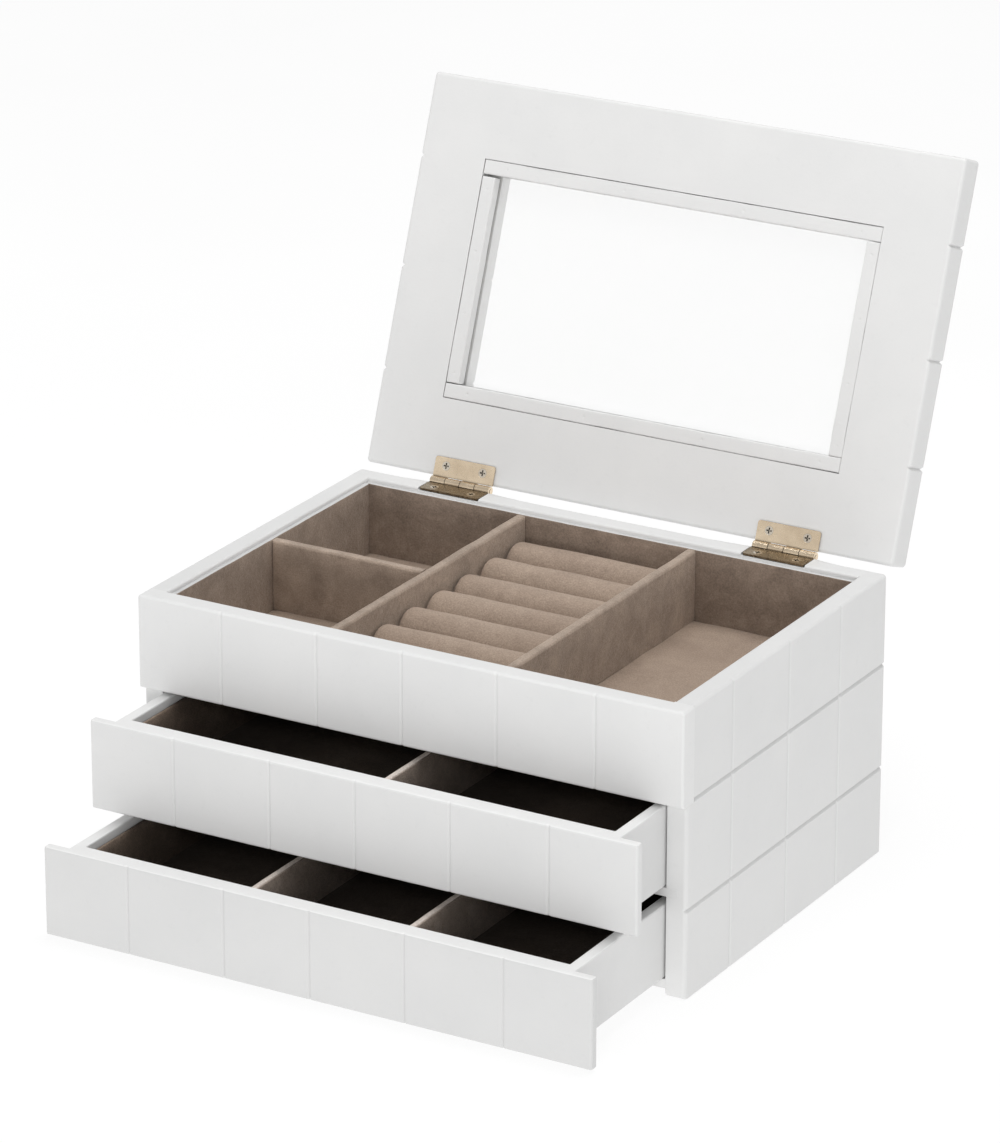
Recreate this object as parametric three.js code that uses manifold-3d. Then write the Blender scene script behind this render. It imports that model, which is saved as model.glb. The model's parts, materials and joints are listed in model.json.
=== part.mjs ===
// A small painted jewellery chest: a hinged lid with a window over a lined ring tray,
// and two lined drawers below it that slide out at the front.
//
// Millimetres, +Z up. The origin is on the floor under the middle of the case, and the
// drawer fronts face -Y. The chest stands as it is displayed: the lid is open against the
// stop of its hinges, and both drawers are pulled part of the way out.

import * as THREE from 'three';
import { mergeVertices } from 'three/addons/utils/BufferGeometryUtils.js';
import Module from 'manifold-3d';

const wasm = await Module();
wasm.setup();

// ---------------------------------------------------------------- driving dimensions

const CASE_WIDTH = 260;
const CASE_DEPTH = 180;
const RIM_HEIGHT = 128;
const PANEL = 9.2;              // side and back panels, and the rim all the way round
const FRONT_PLATE = 3.7;        // drawer fronts, which overlap the side panels' front edges
const GLUE_GAP = 0.05;          // between glued pieces
const SLIDE_GAP = 0.3;          // between pieces that slide, turn or rest on each other

const SHELF_THICK = 3.9;
const SHELF_BOTTOM = 44.7;
const SHELF_HOUSING = 5.2;      // how far the shelf is let into each side panel
const BASE_THICK = 4.2;
const BASE_BOTTOM = 3.8;
const TRAY_BOTTOM = 86.2;       // underside of the top front board and of the tray floor
const TRAY_FLOOR_THICK = 4.2;

const GROOVE_WIDTH = 2.2;
const GROOVE_DEPTH = 1.2;
const FAINT_GROOVE_DEPTH = 0.6;   // front grooves, and upright ones in the side panels
const FRONT_GROOVES_X = [-89, -42.5, -1.5, 43.3, 89.2];
const SIDE_GROOVES_Y = [-47.7, 1.5, 47.6];
const SIDE_GROOVES_Z = [39.8, 87.2];

const LINING = 1.8;             // padded board of the tray walls
const LINING_TOP = 126;
const TRAY_LINING_FLOOR = 94;   // where jewellery lies
const DIVIDER = 4.8;
const DIVIDER_TOP = 125.6;
const LONG_DIVIDER_X = 42;
const CROSS_DIVIDER_Y = 0.5;

const ROLL_COUNT = 7;
const ROLL_PITCH = 22.5;
const ROLL_WIDTH = 21.8;
const ROLL_HEIGHT = 24.2;
const ROLL_SEGMENTS = 20;
const ROLL_END_GAP = 0.2;

const LID_DEPTH = 175;
const LID_THICK = 14;
const LID_OPEN_DEG = 110.4;
const LID_SEAT = 1.5;           // closed lid's underside above the rim
const WINDOW = { width: 182, depth: 93 };
const WINDOW_REBATE = 6.7;      // width of the ledge that carries the glass
const WINDOW_LIP = 7.2;         // thickness of that ledge
const GLASS_THICK = 2;
const LEFT_BEAD_SHORT = 0.8;    // this bead stops short of its upper corner

const HINGE_X = 80;
const HINGE_WIDTH = 30;
const LEAF_LENGTH = 11;         // from the pin's axis to the free edge
const LEAF_THICK = 0.9;
const LEAF_CORNER = 1.2;
const KNUCKLE_RADIUS = 2.1;
const KNUCKLE_GAP = 0.12;       // from a leaf's edge to the other leaf's knuckles
const KNUCKLE_COUNT = 4;
const PIN_RADIUS = 0.9;
const PIN_BORE = 0.98;
const SCREW_X = 9.2;            // either side of the hinge's middle
const SCREW_REACH = 7.2;        // from the pin's axis
const SCREW = { head: 2, shank: 0.75, length: 7, slot: 0.62, slotDepth: 0.6 };

const DRAWER = { wall: 5.2, outerWidth: 240, length: 162, bottom: 3, lining: 1.5, liningDrop: 3.5 };
const DRAWER_DIVIDER = 3;
const DRAWERS = {
  middle_drawer: { frontBottom: 44.9, boxBottom: 48.9, top: 84.7, pulled: 37.5, dividersX: [4] },
  bottom_drawer: { frontBottom: 1.1, boxBottom: 8.3, top: 40.9, pulled: 73.6, dividersX: [-37.7, 37.7] },
};

// ---------------------------------------------------------------- derived places

const SIDE = CASE_WIDTH / 2;
const INNER_SIDE = SIDE - PANEL;
const FRONT = -CASE_DEPTH / 2;
const SIDE_FRONT = FRONT + FRONT_PLATE + SLIDE_GAP;    // front edge of the side panels
const BACK = CASE_DEPTH / 2;
const INNER_FRONT = FRONT + PANEL;
const INNER_BACK = BACK - PANEL;
const BETWEEN_SIDES = INNER_SIDE - GLUE_GAP;
const PIN_Y = BACK + KNUCKLE_RADIUS + 0.2;
const PIN_Z = RIM_HEIGHT;

// ---------------------------------------------------------------- materials

function material(color, roughness, metalness) {
  return new THREE.MeshStandardMaterial({ color, roughness, metalness });
}
const paint = material(0xe4e4e2, 0.45, 0);
const velvet = material(0x9a8676, 0.95, 0);
const brass = material(0xcbb994, 0.3, 1);
const glass = new THREE.MeshStandardMaterial({
  color: 0xf2f6f5, roughness: 0.05, metalness: 0, transparent: true, opacity: 0.25,
});

// ---------------------------------------------------------------- solids

function toManifold(geometry) {
  const bare = geometry.clone();
  bare.deleteAttribute('normal');
  bare.deleteAttribute('uv');
  const merged = mergeVertices(bare, 1e-4);
  const faces = [];
  for (let i = 0; i < merged.index.count; i += 3) {
    const [a, b, c] = [0, 1, 2].map((k) => merged.index.getX(i + k));
    if (a !== b && b !== c && c !== a) faces.push(a, b, c);
  }
  return new wasm.Manifold(new wasm.Mesh({
    numProp: 3,
    vertProperties: new Float32Array(merged.attributes.position.array),
    triVerts: new Uint32Array(faces),
  }));
}

function toGeometry(manifold) {
  const mesh = manifold.getMesh();
  const geometry = new THREE.BufferGeometry();
  geometry.setAttribute('position', new THREE.BufferAttribute(mesh.vertProperties, 3));
  geometry.setIndex(new THREE.BufferAttribute(mesh.triVerts, 1));
  geometry.computeVertexNormals();
  return geometry;
}

function join(first, ...others) {
  return toGeometry(others.reduce((body, piece) => body.add(toManifold(piece)), toManifold(first)));
}

function cut(body, ...tools) {
  return toGeometry(tools.reduce((left, tool) => left.subtract(toManifold(tool)), toManifold(body)));
}

// A block from one corner to the other.
function block([x0, y0, z0], [x1, y1, z1]) {
  return new THREE.BoxGeometry(x1 - x0, y1 - y0, z1 - z0)
    .translate((x0 + x1) / 2, (y0 + y1) / 2, (z0 + z1) / 2);
}

// An outline swept along one axis. It is drawn in (Y, Z) for x, (Z, X) for y, (X, Y) for z.
const SWEEPS = {
  x: [[0, 1, 0], [0, 0, 1], [1, 0, 0]],
  y: [[0, 0, 1], [1, 0, 0], [0, 1, 0]],
  z: [[1, 0, 0], [0, 1, 0], [0, 0, 1]],
};
function sweep(axis, outline, from, to) {
  const shape = outline instanceof THREE.Shape
    ? outline
    : new THREE.Shape(outline.map(([u, v]) => new THREE.Vector2(u, v)));
  const basis = SWEEPS[axis].map((v) => new THREE.Vector3(...v));
  return new THREE.ExtrudeGeometry(shape, { depth: to - from, bevelEnabled: false, curveSegments: 4 })
    .translate(0, 0, from)
    .applyMatrix4(new THREE.Matrix4().makeBasis(...basis));
}

function cylinderAlongX(radius, from, to, segments = 24) {
  return new THREE.CylinderGeometry(radius, radius, to - from, segments)
    .rotateZ(Math.PI / 2)
    .translate((from + to) / 2, 0, 0);
}

// The corner points of V-grooves along an edge at height `level`, cut towards `inward`.
function grooveNotches(centres, level, inward, depth = GROOVE_DEPTH) {
  return centres.flatMap((centre) => [
    [centre - GROOVE_WIDTH / 2, level],
    [centre, level + inward * depth],
    [centre + GROOVE_WIDTH / 2, level],
  ]);
}

function piece(name, geometry, finish) {
  const mesh = new THREE.Mesh(geometry, finish);
  mesh.name = name;
  return mesh;
}

// ---------------------------------------------------------------- case

// A V-shaped cutter with its apex below the face at `level`, drawn as [along, level] points.
function grooveCutter(centre, level, inward, depth = GROOVE_DEPTH) {
  const spread = GROOVE_WIDTH / 2 * (1 + 1 / depth);
  return [[level - inward, centre - spread], [level + inward * depth, centre],
    [level - inward, centre + spread]];
}

// A side panel is grooved on its outer face. Its top front corner is cut away for the top
// front board, and the middle shelf is let into its inner face.
function sidePanel(side) {
  const face = side * SIDE;
  const inner = side * INNER_SIDE;
  const outline = [
    [0, face], ...grooveNotches(SIDE_GROOVES_Z, face, -side), [RIM_HEIGHT, face],
    [RIM_HEIGHT, inner], [0, inner],
  ];
  const uprights = SIDE_GROOVES_Y.map((y) => (
    sweep('z', grooveCutter(y, face, -side, FAINT_GROOVE_DEPTH), -1, RIM_HEIGHT + 1)
  ));
  const topCorner = block(
    [Math.min(face, inner) - 1, SIDE_FRONT - 1, TRAY_BOTTOM - GLUE_GAP],
    [Math.max(face, inner) + 1, INNER_FRONT + GLUE_GAP, RIM_HEIGHT + 1],
  );
  const reach = [inner - side, inner + side * (SHELF_HOUSING + SLIDE_GAP)].sort((a, b) => a - b);
  const housing = block(
    [reach[0], SIDE_FRONT - 1, SHELF_BOTTOM - SLIDE_GAP],
    [reach[1], INNER_BACK, SHELF_BOTTOM + SHELF_THICK + SLIDE_GAP],
  );
  return cut(sweep('y', outline, SIDE_FRONT, BACK), ...uprights, topCorner, housing);
}

// A planked board across the whole front.
function plankedBoard(bottom, top, thick) {
  const back = FRONT + thick;
  const outline = [
    [-SIDE, FRONT], ...grooveNotches(FRONT_GROOVES_X, FRONT, 1, FAINT_GROOVE_DEPTH),
    [SIDE, FRONT], [SIDE, back], [-SIDE, back],
  ];
  return sweep('z', outline, bottom, top);
}

// The back panel's top edge has a pocket for each hinge leaf, and pilot holes for its screws.
function backPanel() {
  const panel = block([-BETWEEN_SIDES, INNER_BACK, 0], [BETWEEN_SIDES, BACK, RIM_HEIGHT]);
  const pockets = [-HINGE_X, HINGE_X].map((x) => block(
    [x - HINGE_WIDTH / 2 - SLIDE_GAP, INNER_BACK - 1, RIM_HEIGHT - LEAF_THICK - SLIDE_GAP],
    [x + HINGE_WIDTH / 2 + SLIDE_GAP, BACK + 1, RIM_HEIGHT + 1],
  ));
  const pilots = screwPlaces().map(([x, y]) => (
    screwHole(SCREW.length).rotateX(Math.PI / 2).translate(x, PIN_Y + y, RIM_HEIGHT)
  ));
  return cut(panel, ...pockets, ...pilots);
}

// A level board between the back panel and the front edge of the sides.
function levelBoard(halfWidth, bottom, thick) {
  return block([-halfWidth, SIDE_FRONT, bottom], [halfWidth, INNER_BACK - GLUE_GAP, bottom + thick]);
}

function caseWoodwork() {
  const trayFloor = block(
    [-BETWEEN_SIDES, INNER_FRONT + GLUE_GAP, TRAY_BOTTOM],
    [BETWEEN_SIDES, INNER_BACK - GLUE_GAP, TRAY_BOTTOM + TRAY_FLOOR_THICK],
  );
  return [
    piece('left_side_panel', sidePanel(-1), paint),
    piece('right_side_panel', sidePanel(1), paint),
    piece('back_panel', backPanel(), paint),
    piece('top_front_board', plankedBoard(TRAY_BOTTOM, RIM_HEIGHT, PANEL), paint),
    piece('tray_floor_panel', trayFloor, paint),
    piece('middle_shelf', levelBoard(INNER_SIDE + SHELF_HOUSING, SHELF_BOTTOM, SHELF_THICK), paint),
    piece('base_panel', levelBoard(BETWEEN_SIDES, BASE_BOTTOM, BASE_THICK), paint),
  ];
}

// ---------------------------------------------------------------- tray lining and ring rolls

function trayLining() {
  const x = INNER_SIDE - GLUE_GAP;
  const y = INNER_BACK - GLUE_GAP;
  const z = TRAY_BOTTOM + TRAY_FLOOR_THICK + GLUE_GAP;
  const insideY = y - LINING - GLUE_GAP;
  const insideX = x - LINING - GLUE_GAP;
  return [
    piece('tray_lining_front', block([-x, -y, z], [x, -y + LINING, LINING_TOP]), velvet),
    piece('tray_lining_back', block([-x, y - LINING, z], [x, y, LINING_TOP]), velvet),
    piece('tray_lining_left', block([-x, -insideY, z], [-x + LINING, insideY, LINING_TOP]), velvet),
    piece('tray_lining_right', block([x - LINING, -insideY, z], [x, insideY, LINING_TOP]), velvet),
    piece('tray_lining_floor', block([-insideX, -insideY, z], [insideX, insideY, TRAY_LINING_FLOOR]), velvet),
  ];
}

function trayDividers() {
  const low = TRAY_LINING_FLOOR + GLUE_GAP;
  const endY = INNER_BACK - LINING - 3 * GLUE_GAP;
  const long = (centre) => block(
    [centre - DIVIDER / 2, -endY, low], [centre + DIVIDER / 2, endY, DIVIDER_TOP],
  );
  const cross = block(
    [-INNER_SIDE + LINING + 3 * GLUE_GAP, CROSS_DIVIDER_Y - DIVIDER / 2, low],
    [-LONG_DIVIDER_X - DIVIDER / 2 - GLUE_GAP, CROSS_DIVIDER_Y + DIVIDER / 2, DIVIDER_TOP],
  );
  return [
    piece('left_tray_divider', long(-LONG_DIVIDER_X), velvet),
    piece('right_tray_divider', long(LONG_DIVIDER_X), velvet),
    piece('cross_tray_divider', cross, velvet),
  ];
}

// A roll stands on a flat base, with upright sides and a half-round top.
function ringRolls() {
  const radius = ROLL_WIDTH / 2;
  const arch = Array.from({ length: ROLL_SEGMENTS + 1 }, (_, i) => {
    const angle = Math.PI * i / ROLL_SEGMENTS;
    return [radius * Math.cos(angle), ROLL_HEIGHT - radius + radius * Math.sin(angle)];
  });
  const halfLength = LONG_DIVIDER_X - DIVIDER / 2 - ROLL_END_GAP;
  const shape = sweep('x', [[-radius, 0], [radius, 0], ...arch], -halfLength, halfLength);
  const firstY = -ROLL_PITCH * (ROLL_COUNT - 1) / 2;
  return Array.from({ length: ROLL_COUNT }, (_, i) => {
    const roll = piece(`ring_roll_${i + 1}`, shape.clone(), velvet);
    roll.position.set(0, firstY + i * ROLL_PITCH, TRAY_LINING_FLOOR + GLUE_GAP);
    return roll;
  });
}

// ---------------------------------------------------------------- hinges

// Hinge pieces are drawn about the pin's axis, as they lie when the lid is closed.

// A countersunk screw along Y, its head's face at the origin and its cross recess cut in.
function screw() {
  const profile = [
    [0, -SCREW.length], [SCREW.shank, -SCREW.length + 1.5], [SCREW.shank, -LEAF_THICK],
    [SCREW.head, 0], [0, 0],
  ];
  const body = new THREE.LatheGeometry(profile.map(([r, y]) => new THREE.Vector2(r, y)), 16);
  const arm = SCREW.head * 0.66;
  const slot = (x, z) => block([-x, -SCREW.slotDepth, -z], [x, 1, z]);
  return cut(body, slot(arm, SCREW.slot / 2), slot(SCREW.slot / 2, arm));
}

// Room for a screw: its head's cone in the leaf, and its shank below.
function screwHole(depth) {
  const profile = [
    [0, -depth - GLUE_GAP], [SCREW.shank + GLUE_GAP, -depth - GLUE_GAP],
    [SCREW.shank + GLUE_GAP, -LEAF_THICK], [SCREW.head + GLUE_GAP, 0], [SCREW.head + GLUE_GAP, 1], [0, 1],
  ];
  return new THREE.LatheGeometry(profile.map(([r, y]) => new THREE.Vector2(r, y)), 16);
}

// Screw centres of both hinges, as [X, distance from the pin's axis along Y].
function screwPlaces(hinges = [-HINGE_X, HINGE_X]) {
  return hinges.flatMap((x) => [[x - SCREW_X, -SCREW_REACH], [x + SCREW_X, -SCREW_REACH]]);
}

// One leaf about its hinge's middle: its plate lies from `low` to `low` + LEAF_THICK, its
// knuckles are those numbered in `own`, and its screw heads show on the face at `headFace`.
function leaf(low, own, headFace) {
  const high = low + LEAF_THICK;
  const half = HINGE_WIDTH / 2;
  const shoulder = -KNUCKLE_RADIUS - KNUCKLE_GAP;
  const outline = new THREE.Shape()
    .moveTo(half, shoulder)
    .lineTo(-half, shoulder)
    .lineTo(-half, -LEAF_LENGTH + LEAF_CORNER)
    .absarc(-half + LEAF_CORNER, -LEAF_LENGTH + LEAF_CORNER, LEAF_CORNER, Math.PI, Math.PI * 1.5)
    .absarc(half - LEAF_CORNER, -LEAF_LENGTH + LEAF_CORNER, LEAF_CORNER, Math.PI * 1.5, Math.PI * 2);
  const pitch = HINGE_WIDTH / KNUCKLE_COUNT;
  const knuckles = own.flatMap((number) => {
    const from = -half + number * pitch + SLIDE_GAP / 2;
    const to = from + pitch - SLIDE_GAP;
    return [block([from, shoulder - 0.1, low], [to, 0, high]), cylinderAlongX(KNUCKLE_RADIUS, from, to)];
  });
  const holes = screwPlaces([0]).map(([x, y]) => (
    screwHole(LEAF_THICK + 1)
      .rotateX(headFace === high ? Math.PI / 2 : -Math.PI / 2)
      .translate(x, y, headFace)
  ));
  return cut(
    join(sweep('z', outline, low, high), ...knuckles),
    cylinderAlongX(PIN_BORE, -half - 1, half + 1),
    ...holes,
  );
}

const HINGES = { left_hinge: -HINGE_X, right_hinge: HINGE_X };

function caseHalfOfHinges() {
  return Object.entries(HINGES).flatMap(([name, x]) => {
    const half = new THREE.Group();
    half.position.set(x, PIN_Y, PIN_Z);
    half.add(piece(`${name}_case_leaf`, leaf(-LEAF_THICK, [1, 3], 0), brass));
    half.add(piece(`${name}_pin`, cylinderAlongX(PIN_RADIUS, -HINGE_WIDTH / 2, HINGE_WIDTH / 2), brass));
    screwPlaces([0]).forEach(([sx, sy], i) => {
      const fastener = piece(`${name}_case_screw_${i + 1}`, screw().rotateX(Math.PI / 2), brass);
      fastener.position.set(sx, sy, 0);
      half.add(fastener);
    });
    return half;
  });
}

function lidHalfOfHinges() {
  const low = SLIDE_GAP;
  return Object.entries(HINGES).flatMap(([name, x]) => {
    const half = new THREE.Group();
    half.position.x = x;
    half.add(piece(`${name}_lid_leaf`, leaf(low, [0, 2], low), brass));
    screwPlaces([0]).forEach(([sx, sy], i) => {
      const fastener = piece(`${name}_lid_screw_${i + 1}`, screw().rotateX(-Math.PI / 2), brass);
      fastener.position.set(sx, sy, low);
      half.add(fastener);
    });
    return half;
  });
}

// ---------------------------------------------------------------- lid

// The lid is drawn closed, about the pin's axis.
const LID_BACK = BACK - PIN_Y;
const LID_UNDER = RIM_HEIGHT + LID_SEAT - PIN_Z;
const LID_TOP = LID_UNDER + LID_THICK;
const WINDOW_Y = LID_BACK - LID_DEPTH / 2;
const GLASS_TOP = LID_TOP - WINDOW_LIP - GLUE_GAP;

// The lid's top face and both its side edges are grooved in line with the side panels.
function lidPanel() {
  const front = LID_BACK - LID_DEPTH;
  const grooves = SIDE_GROOVES_Y.map((y) => y - PIN_Y);
  const outline = [
    [front, LID_UNDER], [front, LID_TOP], ...grooveNotches(grooves, LID_TOP, -1),
    [LID_BACK, LID_TOP], [LID_BACK, LID_UNDER],
  ];
  const halfX = WINDOW.width / 2;
  const halfY = WINDOW.depth / 2;
  const opening = block([-halfX, WINDOW_Y - halfY, LID_UNDER - 1], [halfX, WINDOW_Y + halfY, LID_TOP + 1]);
  const rebate = block(
    [-halfX - WINDOW_REBATE, WINDOW_Y - halfY - WINDOW_REBATE, LID_UNDER - 1],
    [halfX + WINDOW_REBATE, WINDOW_Y + halfY + WINDOW_REBATE, LID_TOP - WINDOW_LIP],
  );
  const pilots = screwPlaces().map(([x, y]) => (
    screwHole(SCREW.length).rotateX(-Math.PI / 2).translate(x, y, SLIDE_GAP)
  ));
  const edgeGrooves = [-1, 1].flatMap((side) => grooves.map((y) => (
    sweep('z', grooveCutter(y, side * SIDE, -side), LID_UNDER - 1, LID_TOP + 1)
  )));
  return cut(sweep('x', outline, -SIDE, SIDE), opening, rebate, ...edgeGrooves, ...pilots);
}

// The glass lies on the ledge, and four beads hold it: two full length, two between them.
function lidWindow() {
  const outerX = WINDOW.width / 2 + WINDOW_REBATE - GLUE_GAP;
  const outerY = WINDOW.depth / 2 + WINDOW_REBATE - GLUE_GAP;
  const beadX = WINDOW.width / 2;
  const beadY = WINDOW.depth / 2;
  const glassLow = GLASS_TOP - GLASS_THICK;
  const beadHigh = glassLow - GLUE_GAP;
  const bead = (x0, y0, x1, y1) => block([x0, WINDOW_Y + y0, LID_UNDER], [x1, WINDOW_Y + y1, beadHigh]);
  const pane = block([-outerX, WINDOW_Y - outerY, glassLow], [outerX, WINDOW_Y + outerY, GLASS_TOP]);
  const between = beadY - GLUE_GAP;
  return [
    piece('window_glass', pane, glass),
    piece('window_bead_front', bead(-outerX, -outerY, outerX, -beadY), paint),
    piece('window_bead_back', bead(-outerX, beadY, outerX, outerY), paint),
    piece('window_bead_left', bead(-outerX, -between + LEFT_BEAD_SHORT, -beadX, between), paint),
    piece('window_bead_right', bead(beadX, -between, outerX, between), paint),
  ];
}

function lid() {
  const opened = new THREE.Group();
  opened.position.set(0, PIN_Y, PIN_Z);
  opened.rotation.x = -THREE.MathUtils.degToRad(LID_OPEN_DEG);
  opened.add(piece('lid_panel', lidPanel(), paint), ...lidWindow(), ...lidHalfOfHinges());
  return opened;
}

// ---------------------------------------------------------------- drawers

// A drawer is drawn closed. The group that holds it is then pulled towards -Y.
function drawer(name, { frontBottom, boxBottom, top, pulled, dividersX }) {
  const outer = DRAWER.outerWidth / 2;
  const inner = outer - DRAWER.wall;
  const boxFront = FRONT + FRONT_PLATE + GLUE_GAP;
  const boxBack = boxFront + DRAWER.length;
  const insideFront = boxFront + DRAWER.wall + GLUE_GAP;
  const insideBack = boxBack - DRAWER.wall - GLUE_GAP;
  const between = inner - GLUE_GAP;
  const floor = boxBottom + DRAWER.bottom;

  const cross = (y0, y1) => block([-between, y0, boxBottom], [between, y1, top]);
  const wall = (x0, x1) => block([x0, boxFront, boxBottom], [x1, boxBack, top]);

  const liningLow = floor + GLUE_GAP;
  const liningTop = top - DRAWER.liningDrop;
  const cavityX = between - DRAWER.lining;
  const cavityFront = insideFront + DRAWER.lining;
  const cavityBack = insideBack - DRAWER.lining;
  const cavityLow = liningLow + DRAWER.lining;
  const lining = cut(
    block([-between, insideFront, liningLow], [between, insideBack, liningTop]),
    block([-cavityX, cavityFront, cavityLow], [cavityX, cavityBack, liningTop + 1]),
  );

  const group = new THREE.Group();
  group.position.y = -pulled;
  group.add(
    piece(`${name}_front`, plankedBoard(frontBottom, top, FRONT_PLATE), paint),
    piece(`${name}_box_front`, cross(boxFront, boxFront + DRAWER.wall), paint),
    piece(`${name}_box_back`, cross(boxBack - DRAWER.wall, boxBack), paint),
    piece(`${name}_box_left`, wall(-outer, -inner), paint),
    piece(`${name}_box_right`, wall(inner, outer), paint),
    piece(`${name}_bottom`, block([-between, insideFront, boxBottom], [between, insideBack, floor]), paint),
    piece(`${name}_lining`, lining, velvet),
    ...dividersX.map((x, i) => piece(
      dividersX.length > 1 ? `${name}_divider_${i + 1}` : `${name}_divider`,
      block(
        [x - DRAWER_DIVIDER / 2, cavityFront + GLUE_GAP, cavityLow + GLUE_GAP],
        [x + DRAWER_DIVIDER / 2, cavityBack - GLUE_GAP, liningTop - 0.5],
      ),
      velvet,
    )),
  );
  return group;
}

// ---------------------------------------------------------------- chest

const chest = new THREE.Group();
chest.add(
  ...caseWoodwork(),
  ...trayLining(),
  ...trayDividers(),
  ...ringRolls(),
  ...caseHalfOfHinges(),
  lid(),
  ...Object.entries(DRAWERS).map(([name, sizes]) => drawer(name, sizes)),
);

export default chest;
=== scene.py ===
"""A small painted jewellery chest with velvet-covered linings, in the frame of its CAD model.

The chest's sizes are written in millimetres and the studio's in metres.
"""

import json
import math

import bmesh
import bpy
from mathutils import Matrix, Vector, noise


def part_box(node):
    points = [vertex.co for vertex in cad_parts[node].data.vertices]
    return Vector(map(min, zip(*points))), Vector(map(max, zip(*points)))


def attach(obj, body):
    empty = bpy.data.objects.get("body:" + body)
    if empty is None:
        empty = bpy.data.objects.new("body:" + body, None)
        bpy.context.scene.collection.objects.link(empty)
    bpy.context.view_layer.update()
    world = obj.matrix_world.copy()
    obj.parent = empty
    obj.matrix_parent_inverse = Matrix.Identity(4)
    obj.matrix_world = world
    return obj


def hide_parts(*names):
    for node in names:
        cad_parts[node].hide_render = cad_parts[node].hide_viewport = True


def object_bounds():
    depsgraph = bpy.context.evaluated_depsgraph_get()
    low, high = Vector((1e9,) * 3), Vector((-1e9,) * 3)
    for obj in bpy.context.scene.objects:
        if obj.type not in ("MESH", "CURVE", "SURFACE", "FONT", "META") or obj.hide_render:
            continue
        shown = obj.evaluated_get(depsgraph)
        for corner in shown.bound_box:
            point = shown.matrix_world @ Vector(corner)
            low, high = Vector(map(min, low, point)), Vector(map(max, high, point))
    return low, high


MM = 0.001

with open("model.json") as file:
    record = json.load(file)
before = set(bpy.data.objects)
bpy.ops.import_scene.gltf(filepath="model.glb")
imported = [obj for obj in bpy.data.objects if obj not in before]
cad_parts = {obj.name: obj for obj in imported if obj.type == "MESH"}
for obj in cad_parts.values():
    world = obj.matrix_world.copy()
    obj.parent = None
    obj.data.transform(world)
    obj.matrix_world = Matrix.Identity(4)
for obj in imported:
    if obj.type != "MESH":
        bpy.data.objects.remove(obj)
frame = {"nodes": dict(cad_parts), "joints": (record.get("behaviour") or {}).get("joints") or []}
box_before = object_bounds()


# ---------------------------------------------------------------- places

AXIS = {"x": 0, "y": 1, "z": 2}
HERE = Matrix.Identity(4)


def joint(name):
    return next(j for j in frame["joints"] if j["name"] == name)


def opened_lid():
    """The lid's own axes: its origin is on the hinge pins' axis, and in them the lid lies closed."""
    low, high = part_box("left_hinge_pin")
    axis = (low + high) / 2
    angle = math.radians(joint("lid_hinge")["range_deg"][0])
    return Matrix.Translation((0, axis.y, axis.z)) @ Matrix.Rotation(angle, 4, "X")


LID = opened_lid()


def extent(node, place=HERE):
    """Lowest and highest corner of a CAD node in millimetres, in the axes of its place."""
    back = place.inverted()
    points = [back @ v.co / MM for v in frame["nodes"][node].data.vertices]
    return (
        Vector([min(p[i] for p in points) for i in range(3)]),
        Vector([max(p[i] for p in points) for i in range(3)]),
    )


# ---------------------------------------------------------------- materials


class Finish:
    """A material with one Principled shader, and short ways to wire textures to it."""

    def __init__(self, name, **settings):
        self.material = bpy.data.materials.new(name)
        self.material.use_nodes = True
        self.tree = self.material.node_tree
        self.shader = self.tree.nodes["Principled BSDF"]
        for socket, value in settings.items():
            self.shader.inputs[socket.replace("_", " ")].default_value = value
        self.place = self.node("ShaderNodeTexCoord").outputs["Object"]

    def node(self, kind, inputs=None, **settings):
        made = self.tree.nodes.new(kind)
        for key, value in settings.items():
            setattr(made, key, value)
        for socket, value in (inputs or {}).items():
            if isinstance(value, bpy.types.NodeSocket):
                self.tree.links.new(value, made.inputs[socket])
            else:
                made.inputs[socket].default_value = value
        return made

    def noise(self, scale, detail=3.0, roughness=0.5, distortion=0.0, stretch=None):
        place = self.place
        if stretch:
            place = self.node("ShaderNodeMapping", {"Vector": place, "Scale": stretch}).outputs["Vector"]
        inputs = {"Vector": place, "Scale": scale, "Detail": detail}
        inputs.update({"Roughness": roughness, "Distortion": distortion})
        return self.node("ShaderNodeTexNoise", inputs).outputs["Fac"]

    def ramp(self, value, *stops):
        """Colours or grey levels at positions from 0 to 1."""
        made = self.node("ShaderNodeValToRGB", {"Fac": value})
        elements = made.color_ramp.elements
        while len(elements) < len(stops):
            elements.new(0.5)
        for element, (position, colour) in zip(elements, stops):
            element.position = position
            element.color = (*colour, 1) if isinstance(colour, tuple) else (colour, colour, colour, 1)
        return made.outputs["Color"]

    def mix(self, factor, first, second, blend="MIX"):
        made = self.node("ShaderNodeMix", data_type="RGBA", blend_type=blend)
        for socket, value in ((made.inputs[0], factor), (made.inputs[6], first), (made.inputs[7], second)):
            if isinstance(value, bpy.types.NodeSocket):
                self.tree.links.new(value, socket)
            else:
                socket.default_value = (*value, 1) if isinstance(value, tuple) else value
        return made.outputs[2]

    def wire(self, socket, value):
        self.tree.links.new(value, self.shader.inputs[socket])

    def bump(self, *layers):
        """Layers of (height, depth in mm)."""
        normal = None
        for height, depth in layers:
            inputs = {"Height": height, "Distance": depth * MM, "Strength": 1.0}
            if normal:
                inputs["Normal"] = normal
            normal = self.node("ShaderNodeBump", inputs).outputs["Normal"]
        self.wire("Normal", normal)


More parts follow.
